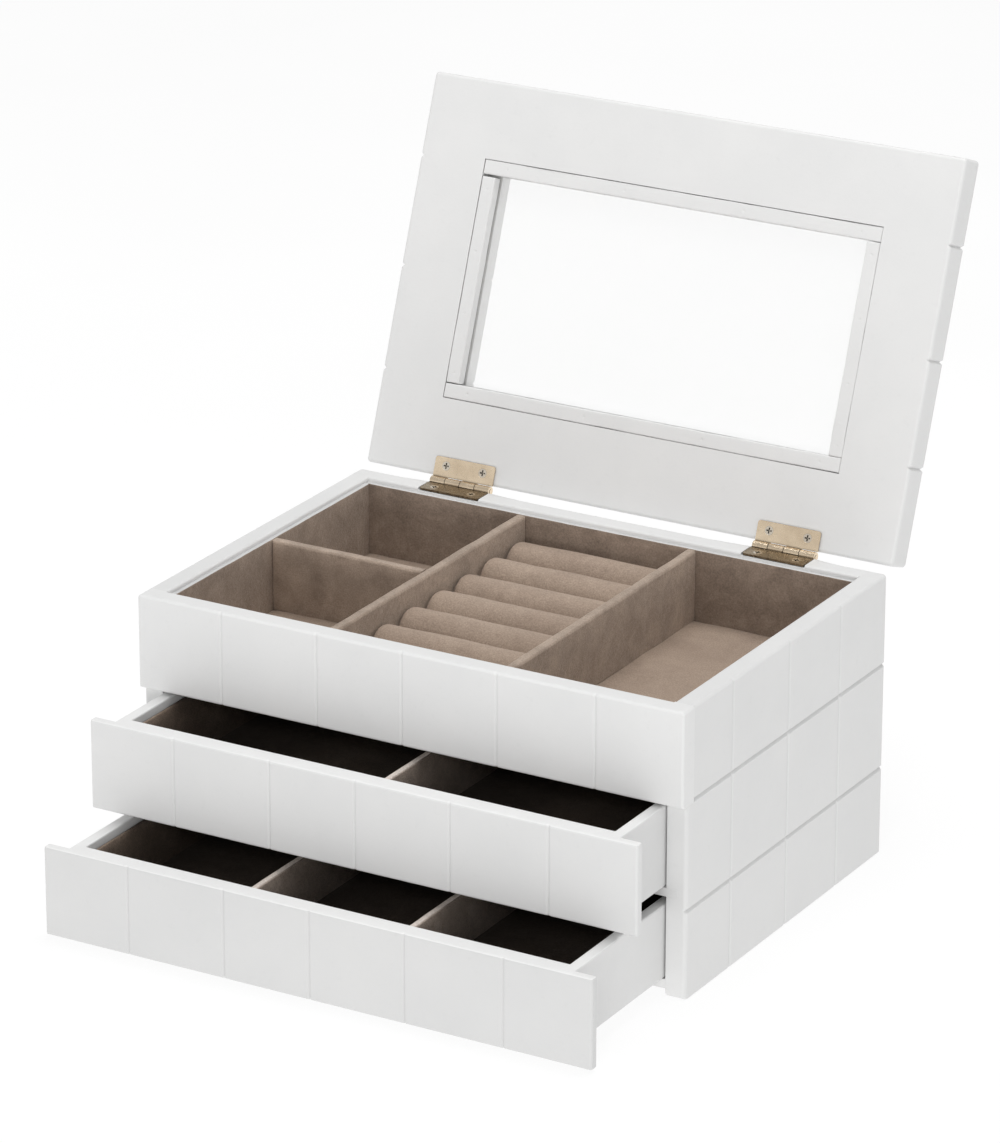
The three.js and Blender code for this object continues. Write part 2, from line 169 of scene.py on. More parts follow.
def painted(name, brushed=0.0, level=1.0):
    """Satin paint on board, as light as its level, with brush marks as deep as brushed, in mm."""
    made = Finish(name, Specular_IOR_Level=0.45)
    cloud = made.noise(22, detail=4, roughness=0.6)
    dull = tuple(level * c for c in (0.705, 0.706, 0.703))
    clean = tuple(level * c for c in (0.735, 0.734, 0.729))
    tone = made.ramp(cloud, (0.3, dull), (0.7, clean))
    dust = made.ramp(made.noise(260, detail=5, roughness=0.7), (0.28, 0.975), (0.42, 1.0))
    tone = made.mix(1.0, tone, dust, "MULTIPLY")
    # Painted shade: an occlusion term darkens the paint in crevices, grooves and seams within 0.7 mm, where
    # shade falls.
    painted_crevice_shade = made.node("ShaderNodeAmbientOcclusion", {"Distance": 0.7 * MM}, samples=6)
    painted_seam_shade = made.ramp(painted_crevice_shade.outputs["AO"], (0.1, (0.55, 0.54, 0.52)), (0.5, 1.0))
    tone = made.mix(0.6, tone, painted_seam_shade, "MULTIPLY")
    made.wire("Base Color", tone)
    made.wire("Roughness", made.ramp(made.noise(90, detail=4), (0.3, 0.36), (0.7, 0.5)))
    layers = [
        (made.noise(750, detail=2), 0.035),
        (made.noise(60, detail=2), 0.10),
    ]
    if brushed:
        layers.append((made.noise(130, detail=4, stretch=(0.12, 6.0, 6.0)), brushed))
    made.bump(*layers)
    return made.material


def velvety(name, dark, light, nap=1.0, sheen=0.55, smudged=0.5, depth=None):
    """Short-pile velvet: brushed patches, specks of pile and a soft pale sheen.

    With a depth in mm, pile that is shut in by walls within that distance is darkened as painted shade.
    """
    made = Finish(
        name,
        Roughness=0.95,
        Specular_IOR_Level=0.1,
        Sheen_Weight=sheen,
        Sheen_Roughness=0.45,
        Sheen_Tint=(0.95, 0.84, 0.74, 1),
    )
    patches = made.noise(38, detail=5, roughness=0.62, distortion=0.6)
    tone = made.ramp(patches, (0.3, dark), (0.72, light))
    smudges = made.noise(85, detail=3, roughness=0.55, distortion=1.6)
    tone = made.mix(smudged, tone, made.ramp(smudges, (0.36, 0.80), (0.62, 1.12)), "MULTIPLY")
    pile = made.noise(1500, detail=3, roughness=0.7)
    tone = made.mix(0.75, tone, made.ramp(pile, (0.3, 0.62), (0.68, 1.18)), "MULTIPLY")
    if depth:
        # Painted shade: pile shut in by walls is darkened, where shade falls.
        painted_recess_shade = made.node("ShaderNodeAmbientOcclusion", {"Distance": depth * MM}, samples=8)
        tone = made.mix(1.0, tone, made.ramp(painted_recess_shade.outputs["AO"], (0.30, 0.08), (0.66, 1.0)), "MULTIPLY")
    made.wire("Base Color", tone)
    made.bump(
        (pile, 0.22 * nap),
        (made.noise(420, detail=3), 0.18 * nap),
        (made.noise(70, detail=3), 0.5 * nap),
    )
    return made.material


def metal(name, dark, light, rough):
    """Plated brass, slightly tarnished, with painted shade in its gaps and recesses."""
    made = Finish(name, Metallic=1.0)
    tarnish = made.noise(110, detail=4, roughness=0.6)
    tone = made.ramp(tarnish, (0.3, dark), (0.7, light))
    # Painted shade: the colour falls almost to black in gaps, slots and recesses, where shade falls.
    painted_crevice_shade = made.node("ShaderNodeAmbientOcclusion", {"Distance": 1.3 * MM}, samples=8)
    tone = made.mix(1.0, tone, made.ramp(painted_crevice_shade.outputs["AO"], (0.42, 0.02), (0.9, 1.0)), "MULTIPLY")
    made.wire("Base Color", tone)
    made.wire("Roughness", made.ramp(made.noise(700, detail=4), (0.3, rough - 0.10), (0.7, rough + 0.10)))
    made.bump(
        (made.noise(500, detail=4, stretch=(0.15, 4.0, 4.0)), 0.012),
        (made.noise(350, detail=2), 0.03),
    )
    return made.material


def clear_glass():
    made = Finish("clear glass", Alpha=0.14, Specular_IOR_Level=1.0, Metallic=0.3)
    made.wire("Base Color", made.ramp(made.noise(12), (0.3, (0.985, 0.995, 0.99)), (0.7, (1.0, 1.0, 1.0))))
    made.wire("Roughness", made.ramp(made.noise(160, detail=5, roughness=0.7), (0.55, 0.0), (0.8, 0.03)))
    made.bump((made.noise(9, detail=1), 0.02))
    return made.material


PAINT = painted("white satin paint")
# Lit and shaded copies of the one paint: the top board's is painted lighter and the lowest front's painted
# darker, to even out how light falls on them.
LIT_TOP_PAINT = painted("white satin paint of the top board", level=1.05)
SHADED_LOW_PAINT = painted("white satin paint of the lowest front", level=0.92)
# Painted highlight: a lighter copy of the paint for the drawers' top edges, as if lit from above.
HIGHLIGHT_EDGE_PAINT = painted("white satin paint of the drawers' top edges", level=1.12)
CARD = painted("pale card edge", level=0.85)
BRUSHED = painted("white brushed paint", brushed=0.10)
TAUPE = velvety("taupe velvet", (0.248, 0.192, 0.153), (0.390, 0.307, 0.246))
# Painted light: a lighter copy of the tray's velvet for the dividers, whose sides catch more light.
LIT_DIVIDER_TAUPE = velvety("taupe velvet of the tray dividers", (0.310, 0.240, 0.190), (0.465, 0.366, 0.292))
# Painted shade: the drawers' linings, darkened deep inside by an occlusion term.
SHADED_TAUPE = velvety(
    "taupe velvet of the drawers", (0.33, 0.25, 0.19), (0.46, 0.355, 0.28), sheen=0.12, depth=56,
)
# Painted light and shade: a lighter copy of the velvet for the drawer dividers, darkened deep inside by an
# occlusion term.
LIT_SHADED_DIVIDER_TAUPE = velvety(
    "taupe velvet of the drawer dividers", (0.60, 0.49, 0.41), (0.77, 0.64, 0.55), sheen=0.1, depth=50,
)
# Painted highlight: a pale copy of the velvet for the tops of the drawer dividers, standing in for light on
# them.
HIGHLIGHT_TOP_TAUPE = velvety("rubbed velvet", (0.66, 0.58, 0.52), (0.80, 0.72, 0.66), sheen=0.3)
# Painted light: a lighter copy of the velvet for the rolls and the tray's floor, which face the light from
# above.
LIT_ROLL_VELVET = velvety(
    "roll velvet", (0.370, 0.284, 0.224), (0.455, 0.356, 0.282), nap=0.8, sheen=0.25, smudged=0.2,
)
BRASS = metal("pale brass", (0.73, 0.585, 0.42), (0.89, 0.735, 0.54), 0.22)
# Painted shade: a darker copy of the brass for the case leaves, standing in for the dark they reflect.
SHADED_BRASS = metal("pale brass of the case leaves", (0.29, 0.23, 0.155), (0.41, 0.335, 0.235), 0.30)
STEEL = metal("screw brass", (0.66, 0.58, 0.48), (0.82, 0.75, 0.64), 0.26)
GLASS = clear_glass()


# ---------------------------------------------------------------- boards


def rounding(low, high, edges):
    """Moves the points near the named edges of a block onto a quarter circle.

    An edge is (side, side, radius), or (side, side, radius, share) where share gives the part
    of the radius that applies at a point.
    """
    corner = {"-": low, "+": high}

    def move(p):
        for side_a, side_b, radius, *share in edges:
            r = radius * (share[0](p) if share else 1)
            if r <= 0:
                continue
            a, b = AXIS[side_a[0]], AXIS[side_b[0]]
            face_a, face_b = corner[side_a[1]][a], corner[side_b[1]][b]
            u, v = r - abs(face_a - p[a]), r - abs(face_b - p[b])
            if u > 0 and v > 0:
                k = max(u, v) / math.hypot(u, v)
                p[a] = face_a + (r - u * k) * (1 if side_a[1] == "-" else -1)
                p[b] = face_b + (r - v * k) * (1 if side_b[1] == "-" else -1)
        return p

    return move


def lattice_lines(low, high, extra, step):
    """Coordinates from low to high that include the extra ones, with no gap wider than step."""
    places = sorted({low, high, *(e for e in extra if low < e < high)})
    merged = [places[0]]
    for place in places[1:]:
        if place - merged[-1] > 0.02:
            merged.append(place)
    merged[-1] = high
    lines = []
    for start, end in zip(merged, merged[1:]):
        count = max(1, math.ceil((end - start) / step))
        lines += [start + (end - start) * i / count for i in range(count)]
    return [*lines, high]


def lattice(low, high, edges=(), lines=None, keep=None, moves=(), step=24.0):
    """A closed mesh on a lattice of shared points, in mm: the kept cells of a block, reshaped."""
    extra = {axis: list((lines or {}).get(axis, ())) for axis in "xyz"}
    for edge in edges:
        for side in edge[:2]:
            i = AXIS[side[0]]
            for share in (0.586, 1.0):
                reach = edge[2] * share
                extra[side[0]].append(low[i] + reach if side[1] == "-" else high[i] - reach)
    grid = [lattice_lines(low[AXIS[a]], high[AXIS[a]], extra[a], step) for a in "xyz"]
    counts = [len(g) - 1 for g in grid]

    def solid(cell):
        if any(c < 0 or c >= n for c, n in zip(cell, counts)):
            return False
        return keep is None or keep(Vector([(g[c] + g[c + 1]) / 2 for g, c in zip(grid, cell)]))

    cells = {
        (i, j, k): solid((i, j, k))
        for i in range(counts[0]) for j in range(counts[1]) for k in range(counts[2])
    }
    shape = rounding(low, high, edges)
    mesh = bmesh.new()
    points = {}

    def point(index):
        if index not in points:
            p = shape(Vector([g[c] for g, c in zip(grid, index)]))
            for move in moves:
                p = move(p)
            points[index] = mesh.verts.new(p * MM)
        return points[index]

    for cell, full in cells.items():
        if not full:
            continue
        for axis in range(3):
            for side in (0, 1):
                beyond = list(cell)
                beyond[axis] += 1 if side else -1
                if cells.get(tuple(beyond), False):
                    continue
                u, v = (axis + 1) % 3, (axis + 2) % 3
                ring = []
                for du, dv in ((0, 0), (1, 0), (1, 1), (0, 1)):
                    corner = list(cell)
                    corner[axis] += side
                    corner[u] += du
                    corner[v] += dv
                    ring.append(point(tuple(corner)))
                mesh.faces.new(ring if side else ring[::-1])
    return mesh


def finished(name, mesh, material, body, nodes, place=HERE, crease=38):
    """Turns a bmesh into a piece that stands for its CAD nodes and rides on their body."""
    data = bpy.data.meshes.new(name)
    mesh.to_mesh(data)
    mesh.free()
    piece = bpy.data.objects.new(name, data)
    bpy.context.scene.collection.objects.link(piece)
    piece.matrix_world = place
    data.materials.append(material)
    data.polygons.foreach_set("use_smooth", [True] * len(data.polygons))
    data.set_sharp_from_angle(angle=math.radians(crease))
    even = piece.modifiers.new("even normals", "WEIGHTED_NORMAL")
    even.keep_sharp = True
    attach(piece, body)
    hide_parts(*nodes)
    return piece


def crowned(piece, high, material):
    """Gives the top edge of a board that ends at height high its own material."""
    piece.data.materials.append(material)
    for face in piece.data.polygons:
        if face.center.z / MM > high - 0.5 and face.normal.z > 0.7:
            face.material_index = 1


def all_four(axes, radius):
    """The four edges of a block between the faces of two axes, such as "xz"."""
    first, second = axes
    return [(f"{first}{a}", f"{second}{b}", radius) for a in "-+" for b in "-+"]


GROOVE_HALF = 1.1               # half a groove's width
GROOVE_LIP = 0.78               # where the softened lip begins, as a part of the half width
LIP_DEPTH = 0.14                # the lip's share of the groove's depth
DEEP = 1.2
FAINT = 0.6
FRONT_GROOVES = (-89.0, -42.5, -1.5, 43.3, 89.2)
SIDE_GROOVES = (-47.7, 1.5, 47.6)
LEVEL_GROOVES = (39.8, 87.2)
GROOVE_FADE = 3.0               # how far behind its face a groove is still felt


def groove_lines(centres):
    across = (-1, -GROOVE_LIP, -0.2, 0, 0.2, GROOVE_LIP, 1)
    return [c + GROOVE_HALF * t for c in centres for t in across]


def grooves(face, low, high, *cuts):
    """V-grooves in a face, with softened lips. They fade out behind the face.

    face is a side such as "y-", low and high are the block's corners, and each cut is the
    axis across its grooves, their centres and their depth.
    """
    axis = AXIS[face[0]]
    level = (low if face[1] == "-" else high)[axis]
    inward = 1 if face[1] == "-" else -1

    def depth(t):
        if t >= 1:
            return 0.0
        if t >= GROOVE_LIP:
            return (1 - t) / (1 - GROOVE_LIP) * LIP_DEPTH
        return LIP_DEPTH + (GROOVE_LIP - t) / GROOVE_LIP * (1 - LIP_DEPTH)

    def move(p):
        deep = 0.0
        for name, centres, full in cuts:
            off = min(abs(p[AXIS[name]] - c) for c in centres) / GROOVE_HALF
            deep = max(deep, full * depth(off))
        behind = abs(p[axis] - level)
        p[axis] += inward * deep * max(0.0, 1 - behind / GROOVE_FADE)
        return p

    return move


def sway(amount=0.05, scale=70.0):
    """Boards are never quite flat: a slow, small wander of every point."""

    def move(p):
        return p + noise.noise_vector(p / scale + Vector((3.1, 7.7, 1.9))) * amount

    return move


CASE_EDGE = 1.6                 # how far edges are rounded
RIM_EDGE = 1.0
LOW_EDGE = 1.2
FOOT_EDGE = 3.0
DRAWER_EDGE = 0.8
LID_EDGE = 1.5
RIM_FADE = 1.0                  # length over which a rounding fades out past its end
GLUED = 0.05                    # the CAD's gap between glued boards
PROUD = 0.06                    # how far a glued board reaches into the next one
SEATED = 0.03                   # the same between a drawer's front and its box
SHELF_PROUD = 0.12              # how far the shelf stands out of the side panels' front edges
LEAF_RECESS = 1.15              # depth of a hinge leaf's recess in the back panel
LEAF_CLEAR = 0.3                # gap beside the leaf
BEAD_GAP = 0.10                 # gap around a glazing bead
NAILS = (0.06, 0.36, 0.66, 0.95)    # places of the nails along a bead
DIMPLE_DEPTH = 0.28
DIMPLE_STEPS = (-0.9, -0.45, -0.2, 0, 0.2, 0.45, 0.9)
DRAWER_PADDING = 1.5            # thickness of a drawer's lining


def beside(axis, low, high, fade=RIM_FADE):
    """1 between low and high along an axis, falling to 0 over the fade beyond them."""

    def share(p):
        off = max(low - p[AXIS[axis]], p[AXIS[axis]] - high, 0)
        return max(0.0, 1 - off / fade)

    return share


def spread(low, high, fade=RIM_FADE):
    """Lines for the lattice where such a share begins to fall, and where it has fallen to 0."""
    return [low, high, low - fade * 0.4, high + fade * 0.4, low - fade, high + fade]


def case_front():
    """The top front board, whose rim is only rounded inside between the side panels."""
    low, high = extent("top_front_board")
    inner_x = extent("back_panel")[1].x + GLUED
    mesh = lattice(
        low, high + Vector((0, PROUD, 0)),
        edges=[
            ("x-", "y-", LOW_EDGE), ("x+", "y-", LOW_EDGE),
            ("y-", "z+", CASE_EDGE), ("y-", "z-", LOW_EDGE),
            ("x-", "z+", CASE_EDGE), ("x+", "z+", CASE_EDGE),
            ("y+", "z+", RIM_EDGE, beside("x", -inner_x, inner_x, 0.02)),
        ],
        lines={
            "x": groove_lines(FRONT_GROOVES) + [s * (inner_x + d) for s in (-1, 1) for d in (0, GLUED)],
            "y": [low.y + GROOVE_FADE],
        },
        moves=[grooves("y-", low, high, ("x", FRONT_GROOVES, FAINT)), sway()],
    )
    # The top board gets the copy of the paint that is painted lighter.
    finished("top_front_board_painted", mesh, LIT_TOP_PAINT, "case", ["top_front_board"])


def side_panel(name, outer, inner):
    """A side of the case, cut away at its top front corner, where the front board passes it."""
    low, high = extent(name)
    front_low, front_high = extent("top_front_board")
    inner_back = extent("back_panel")[0].y
    step_y, step_z = front_high.y, front_low.z - 0.03

    def keep(c):
        return c.y > step_y or c.z < step_z

    mesh = lattice(
        low, high,
        edges=[
            (outer, "z+", CASE_EDGE), (outer, "y+", CASE_EDGE), ("y+", "z+", CASE_EDGE),
            (outer, "z-", LOW_EDGE), ("y+", "z-", LOW_EDGE),
            ("y-", "z-", FOOT_EDGE), (outer, "y-", 1.8),
            (inner, "z+", RIM_EDGE, beside("y", step_y, inner_back)),
        ],
        lines={
            "x": [low.x + GROOVE_FADE, high.x - GROOVE_FADE],
            "y": groove_lines(SIDE_GROOVES) + [step_y, inner_back, inner_back + 0.4, inner_back + 1.0],
            "z": groove_lines(LEVEL_GROOVES) + [step_z],
        },
        keep=keep,
        moves=[
            grooves(outer, low, high, ("y", SIDE_GROOVES, FAINT), ("z", LEVEL_GROOVES, DEEP)),
            sway(),
        ],
    )
    finished(f"{name}_painted", mesh, PAINT, "case", [name])


def case_back():
    """The back panel, with a recess in its top edge for each hinge's leaf."""
    low, high = extent("back_panel")
    reach = Vector((PROUD, 0, 0))
    leaves = [extent(f"{side}_hinge_case_leaf") for side in ("left", "right")]
    recesses = [(leaf[0].x - LEAF_CLEAR, leaf[1].x + LEAF_CLEAR) for leaf in leaves]
    recess_floor = extent("left_hinge_case_screw_1")[1].z - LEAF_RECESS

    def recessed(x, beyond=0.0):
        return any(start - beyond < x < end + beyond for start, end in recesses)

    mesh = lattice(
        low - reach, high + reach,
        edges=[
            ("y+", "z+", CASE_EDGE, lambda p: 0.0 if recessed(p.x, LEAF_CLEAR) else 1.0),
            ("y+", "z-", LOW_EDGE),
            ("y-", "z+", RIM_EDGE),
        ],
        lines={
            "x": [x for a, b in recesses for x in (a - LEAF_CLEAR, a, b, b + LEAF_CLEAR)],
            "z": [recess_floor],
        },
        keep=lambda c: not (recessed(c.x) and c.z > recess_floor),
        moves=[sway()],
    )
    finished("back_panel_painted", mesh, PAINT, "case", ["back_panel"])


def case_boards():
    case_front()
    side_panel("left_side_panel", "x-", "x+")
    side_panel("right_side_panel", "x+", "x-")
    case_back()
    for name, proud in (("tray_floor_panel", 0), ("middle_shelf", SHELF_PROUD), ("base_panel", 0)):
        low, high = extent(name)
        low.y -= proud
        mesh = lattice(low, high, edges=[("y-", "z+", 0.3), ("y-", "z-", 0.3)])
        finished(f"{name}_painted", mesh, PAINT, "case", [name])


def drawer_boards(name):
    """A drawer's front, the four walls of its box and its bottom."""

    def board(part, mesh, paint=PAINT):
        node = f"{name}_{part}"
        return finished(f"{node}_painted", mesh, paint, name, [node])

    low, high = extent(f"{name}_front")
    crown = high.z
    mesh = lattice(
        low, high + Vector((0, SEATED, 0)),
        edges=[
            ("x-", "y-", LOW_EDGE), ("x+", "y-", LOW_EDGE), ("y-", "z+", 1.4), ("y-", "z-", LOW_EDGE),
            *all_four("xz", DRAWER_EDGE),
        ],
        lines={"x": groove_lines(FRONT_GROOVES), "y": [low.y + GROOVE_FADE]},
        moves=[grooves("y-", low, high, ("x", FRONT_GROOVES, FAINT)), sway()],
    )
    # The lowest front gets the copy of the paint that is painted darker.
    piece = board("front", mesh, SHADED_LOW_PAINT if name == "bottom_drawer" else PAINT)
    # The top edges get the painted highlight.
    crowned(piece, crown, HIGHLIGHT_EDGE_PAINT)

    near = extent(f"{name}_box_front")[1].y
    far = extent(f"{name}_box_back")[0].y
    for side, outer, inner in (("left", "x-", "x+"), ("right", "x+", "x-")):
        low, high = extent(f"{name}_box_{side}")
        low.y -= SEATED
        mesh = lattice(
            low, high,
            edges=[
                (outer, "z+", DRAWER_EDGE), (outer, "z-", DRAWER_EDGE), (outer, "y+", DRAWER_EDGE),
                ("y+", "z+", DRAWER_EDGE),
                (inner, "z+", DRAWER_EDGE, beside("y", near, far, DRAWER_EDGE)),
            ],
            lines={"y": spread(near, far, DRAWER_EDGE)},
            moves=[sway()],
        )
        crowned(board(f"box_{side}", mesh), crown, HIGHLIGHT_EDGE_PAINT)
    for end, inner in (("front", "y+"), ("back", "y-")):
        low, high = extent(f"{name}_box_{end}")
        low.x -= PROUD
        high.x += PROUD
        edges = [(inner, "z+", DRAWER_EDGE)]
        if end == "front":
            low.y -= SEATED
        else:
            edges += [("y+", "z+", DRAWER_EDGE), ("y+", "z-", DRAWER_EDGE)]
        mesh = lattice(low, high, edges=edges, moves=[sway()])
        crowned(board(f"box_{end}", mesh), crown, HIGHLIGHT_EDGE_PAINT)
    low, high = extent(f"{name}_bottom")
    board("bottom", lattice(low, high, edges=[("x-", "z-", 0.4), ("x+", "z-", 0.4)], moves=[sway()]))


# ---------------------------------------------------------------- lid


def lid_panel():
    """The lid's board, with an opening for the window and a wider rebate below for the glass."""
    low, high = extent("lid_panel", LID)
    pane_low, pane_high = extent("window_glass", LID)
    ledge = pane_high.z + GLUED
    rebate_x = (pane_low.x - GLUED, pane_high.x + GLUED)
    rebate_y = (pane_low.y - GLUED, pane_high.y + GLUED)
    open_x = (extent("window_bead_left", LID)[1].x, extent("window_bead_right", LID)[0].x)
    open_y = (extent("window_bead_front", LID)[1].y, extent("window_bead_back", LID)[0].y)
    across = [y - LID.translation.y / MM for y in SIDE_GROOVES]

    def inside(c, x, y):
        return x[0] < c.x < x[1] and y[0] < c.y < y[1]

    def keep(c):
        return not (inside(c, open_x, open_y) or (c.z < ledge and inside(c, rebate_x, rebate_y)))

    mesh = lattice(
        low, high,
        edges=[edge for axes in ("xy", "xz", "yz") for edge in all_four(axes, LID_EDGE)],
        lines={
            "x": [*open_x, *rebate_x, low.x + GROOVE_FADE, high.x - GROOVE_FADE],
            "y": [*groove_lines(across), *open_y, *rebate_y],
            "z": [ledge, high.z - GROOVE_FADE],
        },
        keep=keep,
        moves=[
            *(grooves(face, low, high, ("y", across, DEEP)) for face in ("x-", "x+", "z+")),
            sway(0.07, 90),
        ],
    )
    finished("lid_panel_painted", mesh, PAINT, "lid", ["lid_panel"], LID)


def dimples(along, nails, across, middle, face):
    """Small dents over the nails in a bead's underside."""
    i, j = AXIS[along], AXIS[across]

    def move(p):
        off = min(math.hypot(p[i] - nail, p[j] - middle) for nail in nails)
        if p.z < face + 0.5:
            p.z += DIMPLE_DEPTH * math.exp(-((off / 0.45) ** 2))
        return p

    return move


def uneven(seed):
    """The wobble of a thin strip that was nailed on."""
    shift = Vector((0, 0, seed))

    def move(p):
        return p + noise.noise_vector(p / 9 + shift) * 0.16 + noise.noise_vector(p / 30 + shift) * 0.16

    return move


def window_beads():
    """The four strips that hold the glass, drawn with a gap around each for its joint line."""
    gap = Vector((BEAD_GAP, BEAD_GAP, 0))
    for end, seed in (("front", 11), ("back", 23), ("left", 37), ("right", 51)):
        node = f"window_bead_{end}"
        low, high = extent(node, LID)
        low, high = low + gap, high - gap
        along, across = "xy" if end in ("front", "back") else "yx"
        start, stop = low[AXIS[along]], high[AXIS[along]]
        middle = (low[AXIS[across]] + high[AXIS[across]]) / 2
        nails = [start + (stop - start) * t for t in NAILS]
        mesh = lattice(
            low, high,
            edges=[
                ("x-", "z-", 0.7), ("x+", "z-", 0.7), ("y-", "z-", 0.7), ("y+", "z-", 0.7),
                *all_four("xy", 0.4),
            ],
            lines={
                along: [nail + d for nail in nails for d in DIMPLE_STEPS],
                across: [middle + d for d in DIMPLE_STEPS],
            },
            moves=[dimples(along, nails, across, middle, low.z), uneven(seed)],
            step=4.0,
        )
        finished(f"{node}_painted", mesh, BRUSHED, "lid", [node], LID)


# ---------------------------------------------------------------- velvet


def plush(amount, scale, seed):
    """The unevenness of padding under cloth."""

    def move(p):
        shift = noise.noise_vector(p / scale + Vector((seed, seed * 0.7, -seed)))
        return p + shift * amount

    return move


def lined(node, body, edges, moves, lines=None, keep=None, step=3.0, velvet=TAUPE, top=None):
    """A velvet-covered board, with its top edge in another material if one is given."""
    low, high = extent(node)
    mesh = lattice(low, high, edges=edges, lines=lines, keep=keep, moves=moves, step=step)
    piece = finished(f"{node}_velvet", mesh, velvet, body, [node], crease=60)
    if top:
        crowned(piece, high.z, top)


def tray_lining():
    seed = 1.0
    for end in ("front", "back", "left", "right"):
        node = f"tray_lining_{end}"
        low, high = extent(node)
        inner = {"front": "y+", "back": "y-", "left": "x+", "right": "x-"}[end]
        along = "x" if end in ("front", "back") else "y"
        edges = [(inner, "z+", 0.45), (inner, f"{along}-", 0.9), (inner, f"{along}+", 0.9)]
        seed += 3.3
        lined(node, "case", edges, [plush(0.12, 14, seed), plush(0.05, 4, seed)], top=CARD)
    low, high = extent("tray_lining_floor")

    def pillow(p):
        off = min(p.x - low.x, high.x - p.x, p.y - low.y, high.y - p.y)
        if p.z > high.z - 0.5:
            p.z -= 0.7 * math.exp(-((off / 2.2) ** 2))
        return p

    # The tray's floor gets the copy of the velvet that is painted lighter.
    lined("tray_lining_floor", "case", (), [pillow, plush(0.2, 18, 2.0), plush(0.06, 4, 5.0)], velvet=LIT_ROLL_VELVET)


def tray_dividers():
    for seed, side in enumerate(("left", "right", "cross")):
        node = f"{side}_tray_divider"
        flat = "y" if side == "cross" else "x"
        along = "x" if side == "cross" else "y"
        edges = [(f"{flat}-", "z+", 1.2), (f"{flat}+", "z+", 1.2), *all_four(flat + along, 0.9)]
        moves = [plush(0.22, 16, seed + 0.4), plush(0.08, 4, seed + 9.0)]
        # The dividers get the copy of the velvet that is painted lighter.
        lined(node, "case", edges, moves, step=2.5, velvet=LIT_DIVIDER_TAUPE)


def drawer_lining(name):
    node = f"{name}_lining"
    low, high = extent(node)
    wall = DRAWER_PADDING

    def keep(c):
        return (
            c.z < low.z + wall
            or not low.x + wall < c.x < high.x - wall
            or not low.y + wall < c.y < high.y - wall
        )

    def soft_rim(p):
        off = min(p.x - low.x, high.x - p.x, p.y - low.y, high.y - p.y)
        if p.z > high.z - 0.05:
            p.z -= 0.55 * (1 - min(off, wall) / wall * 2) ** 2
        return p

    lined(
        node, name, (), [soft_rim, plush(0.10, 14, 4.0), plush(0.05, 4, 6.0)],
        lines={
            "x": [low.x + wall / 2, low.x + wall, high.x - wall, high.x - wall / 2],
            "y": [low.y + wall / 2, low.y + wall, high.y - wall, high.y - wall / 2],
            "z": [low.z + wall],
        },
        keep=keep, step=4.0, velvet=SHADED_TAUPE,
    )
    # The dividers' sides get the lighter, shaded copy of the velvet, and their tops the painted highlight.
    for divider in [n for n in frame["nodes"] if n.startswith(f"{name}_divider")]:
        lined(
            divider, name, [("x-", "z+", 1.0), ("x+", "z+", 1.0)],
            [plush(0.12, 12, 8.0), plush(0.06, 4, 3.0)], velvet=LIT_SHADED_DIVIDER_TAUPE, top=HIGHLIGHT_TOP_TAUPE,
        )


# ---------------------------------------------------------------- ring rolls


FILLING_FRAMES = 20
FILLING_LIMIT = 0.5             # the most that a point of a roll moves when it is filled
ROLL_VOXEL = 2.2


def inflate(piece, limit):
    """Cloth filled with air, with its underside held. No point moves further than the limit."""
    before = [v.co.copy() for v in piece.data.vertices]
    low = min(c.z for c in before)
    held = piece.vertex_groups.new(name="held")
    held.add([i for i, c in enumerate(before) if c.z < low + 1.2 * MM], 1.0, "REPLACE")
    cloth = piece.modifiers.new("filling", "CLOTH")
    settings = cloth.settings
    settings.quality = 6
    settings.mass = 0.25
    settings.tension_stiffness = 12
    settings.compression_stiffness = 6
    settings.bending_stiffness = 0.25
    settings.use_pressure = True
    settings.uniform_pressure_force = 4
    settings.vertex_group_mass = "held"
    settings.effector_weights.gravity = 0
    cloth.point_cache.frame_start = 1
    cloth.point_cache.frame_end = FILLING_FRAMES
    for step in range(1, FILLING_FRAMES + 1):
        bpy.context.scene.frame_set(step)
    graph = bpy.context.evaluated_depsgraph_get()
    after = [v.co.copy() for v in piece.evaluated_get(graph).data.vertices]
    piece.modifiers.remove(cloth)
    bpy.context.scene.frame_set(1)
    for vertex, start, end in zip(piece.data.vertices, before, after):
        shift = end - start
        if shift.length > limit:
            shift = shift.normalized() * limit
        vertex.co = start + shift


